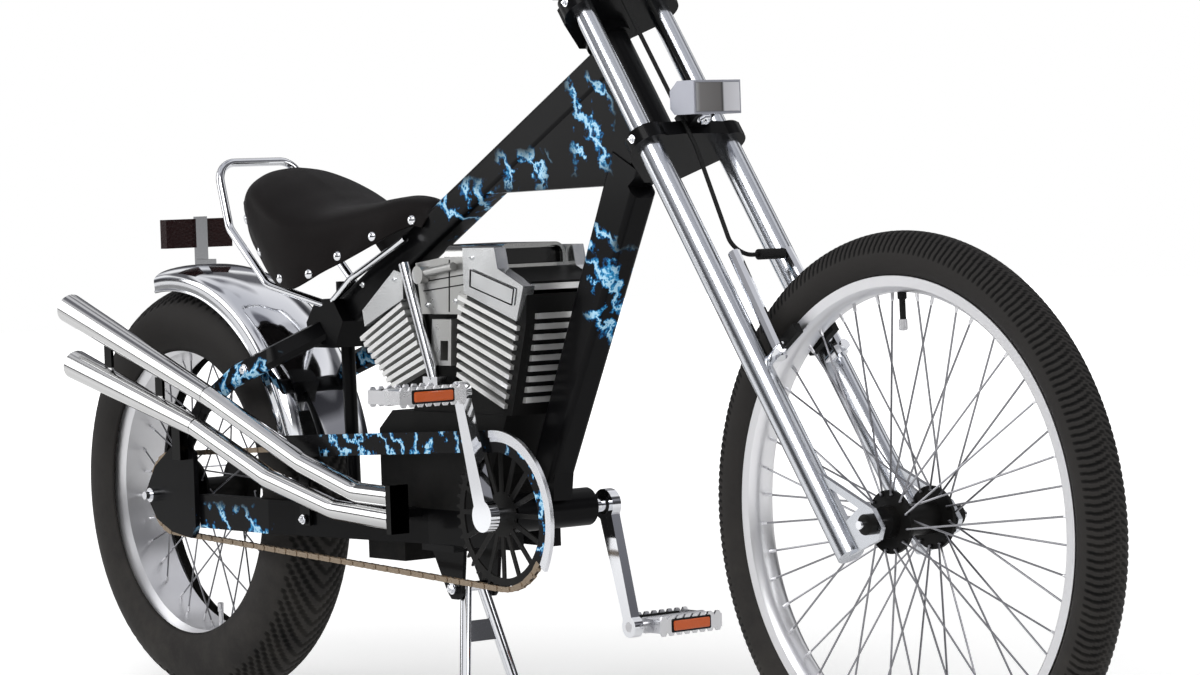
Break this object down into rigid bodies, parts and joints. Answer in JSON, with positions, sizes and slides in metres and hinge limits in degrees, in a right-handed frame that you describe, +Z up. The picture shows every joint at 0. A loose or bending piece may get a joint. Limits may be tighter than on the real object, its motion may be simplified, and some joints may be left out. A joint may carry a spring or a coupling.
{
  "type": "chopper bicycle",
  "caption": "Low chopper bicycle with raked twin-leg fork, fat rear tyre, dummy engine, twin pipes and centre stand; steering, wheels, cranks, pedals and stand move.",
  "frame": {"origin": "on the floor below the middle of the machine's length and width", "axes": "+X towards the front wheel, +Y to the rider's left, +Z up"},
  "size_m": [1.9796, 0.657, 1.0979],
  "materials": {
    "frame_black": "gloss",
    "fork_chrome": "polished",
    "chrome": "polished",
    "engine_black": "satin",
    "vinyl": "grained",
    "grip_rubber": "matt",
    "tyre": "matt",
    "rim_alloy": "satin",
    "spoke_steel": "bright",
    "hub_black": "satin",
    "chain_steel": "oiled",
    "guard": "gloss",
    "lens": "clear lens",
    "reflector": "dark",
    "pedal_metal": "satin"
  },
  "bodies": {
    "frame": {"head_tube": "frame_black", "top_tube": "frame_black", "down_tube": "frame_black", "seat_cluster": "frame_black", "upper_stays": "frame_black", "lower_stays": "frame_black", "rear_fender": "chrome", "saddle_loop": "chrome", "exhaust_pipes": "chrome", "pushrods": "chrome", "head_covers": "chrome", "carburettors": "chrome", "cylinder_fins": "chrome", "rear_axle": "chrome", "engine_case": "engine_black", "cylinders": "engine_black", "saddle_rails": "chrome", "controller_box": "engine_black", "air_cleaner": "chrome", "front_cowl": "engine_black", "saddle": "vinyl", "chain": "chain_steel", "chain_guard": "guard", "rear_reflector": "reflector"},
    "fork": {"fork_legs": "fork_chrome", "cables": "grip_rubber", "handlebar": "fork_chrome", "lower_crown": "frame_black", "upper_crown": "frame_black", "grips": "grip_rubber", "brake_arms": "chrome", "brake_pads": "grip_rubber", "brake_levers": "frame_black", "front_axle": "chrome", "lamp_housing": "chrome", "lamp_lens": "lens"},
    "front_wheel": {"front_tyre": "tyre", "front_rim": "rim_alloy", "front_spokes": "spoke_steel", "front_hub": "hub_black"},
    "rear_wheel": {"rear_tyre": "tyre", "rear_rim": "rim_alloy", "rear_spokes": "spoke_steel", "rear_hub": "hub_black"},
    "crank": {"cranks": "chrome", "chainring": "hub_black"},
    "pedal_right": {"pedal_right": "pedal_metal"},
    "pedal_left": {"pedal_left": "pedal_metal"},
    "stand": {"stand_legs": "chrome"}
  },
  "joints": [
    {"name": "steering", "type": "hinge", "parent": "frame", "child": "fork", "pos_m": [0.60871, 0, 0.25475], "axis": [-0.5828, 0, 0.8126], "range_deg": [-35, 35]},
    {"name": "front_wheel_spin", "type": "hinge", "parent": "fork", "child": "front_wheel", "pos_m": [0.68225, 0, 0.3075], "axis": [0, 1, 0], "continuous": true},
    {"name": "rear_wheel_spin", "type": "hinge", "parent": "frame", "child": "rear_wheel", "pos_m": [-0.70975, 0, 0.28], "axis": [0, 1, 0], "continuous": true},
    {"name": "crank_spin", "type": "hinge", "parent": "frame", "child": "crank", "pos_m": [0.03725, 0, 0.287], "axis": [0, 1, 0], "continuous": true},
    {"name": "pedal_right_spin", "type": "hinge", "parent": "crank", "child": "pedal_right", "pos_m": [-0.00465, -0.155, 0.43311], "axis": [0, 1, 0], "continuous": true},
    {"name": "pedal_left_spin", "type": "hinge", "parent": "crank", "child": "pedal_left", "pos_m": [0.07915, 0.155, 0.14089], "axis": [0, 1, 0], "continuous": true},
    {"name": "stand_fold", "type": "hinge", "parent": "frame", "child": "stand", "pos_m": [-0.11875, 0, 0.186], "axis": [0, 1, 0], "range_deg": [0, 85]}
  ]
}
